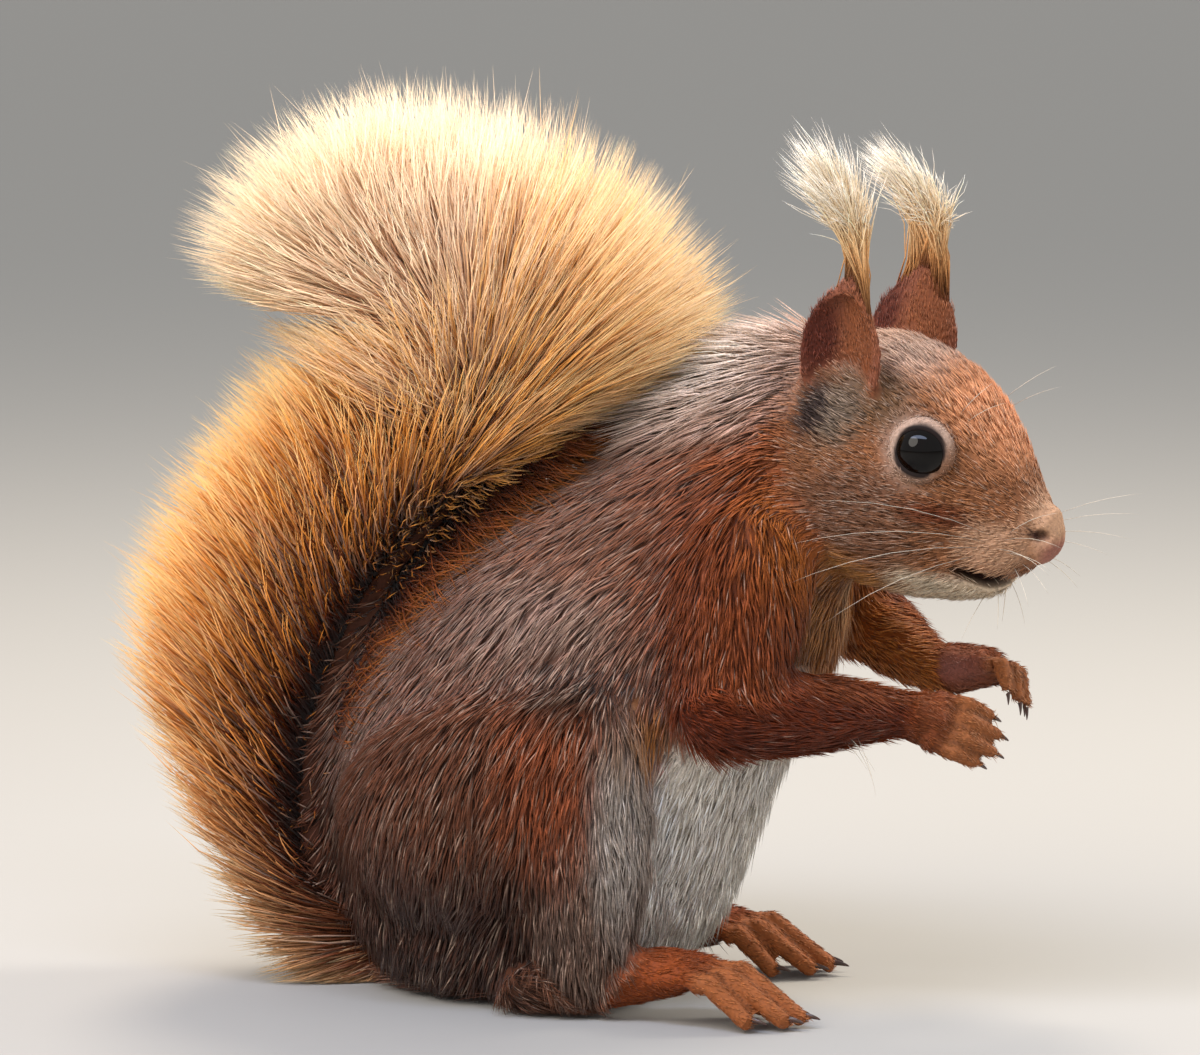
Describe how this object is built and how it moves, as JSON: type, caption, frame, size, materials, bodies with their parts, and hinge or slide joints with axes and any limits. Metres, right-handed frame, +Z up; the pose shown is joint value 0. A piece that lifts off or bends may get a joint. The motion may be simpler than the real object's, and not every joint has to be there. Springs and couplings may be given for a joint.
{
  "type": "red squirrel",
  "caption": "Life-size still model of a red squirrel sitting up on its haunches, forepaws held together before its chest, tufted ears up and bushy tail raised along its back.",
  "frame": {"origin": "on the floor, below the middle of the animal's bounding box", "axes": "+X forward from the tail to the nose of the body, +Y to the animal's left, +Z up"},
  "size_m": [0.1978, 0.0848, 0.1836],
  "materials": {
    "coat": "short dense grey-ticked brown fur",
    "limb_coat": "short red-brown fur",
    "white_coat": "soft cream-white fur under, brown above",
    "plume": "long loose blond to orange tail hair",
    "ear": "thin finely haired skin",
    "tuft": "long pale ear hair",
    "nose": "moist bare skin",
    "eye": "wet glossy black eye",
    "claw": "dark polished horn"
  },
  "bodies": {
    "root": {"rump": "coat", "belly": "coat", "chest": "white_coat", "neck": "coat", "head": "coat", "jaw": "coat", "nose": "nose", "eye_left": "eye", "ear_left": "ear", "ear_tuft_left": "tuft", "upper_arm_left": "limb_coat", "forearm_left": "limb_coat", "forepaw_left": "limb_coat", "claw_fore_left_1": "claw", "claw_fore_left_2": "claw", "claw_fore_left_3": "claw", "claw_fore_left_4": "claw", "thigh_left": "coat", "shank_left": "coat", "hind_foot_left": "limb_coat", "claw_hind_left_1": "claw", "claw_hind_left_2": "claw", "claw_hind_left_3": "claw", "claw_hind_left_4": "claw", "claw_hind_left_5": "claw", "eye_right": "eye", "ear_right": "ear", "ear_tuft_right": "tuft", "upper_arm_right": "limb_coat", "forearm_right": "limb_coat", "forepaw_right": "limb_coat", "claw_fore_right_1": "claw", "claw_fore_right_2": "claw", "claw_fore_right_3": "claw", "claw_fore_right_4": "claw", "thigh_right": "coat", "shank_right": "coat", "hind_foot_right": "limb_coat", "claw_hind_right_1": "claw", "claw_hind_right_2": "claw", "claw_hind_right_3": "claw", "claw_hind_right_4": "claw", "claw_hind_right_5": "claw", "tail_root": "plume", "tail_lower": "plume", "tail_crook": "plume", "tail_tip": "plume"}
  },
  "joints": []
}
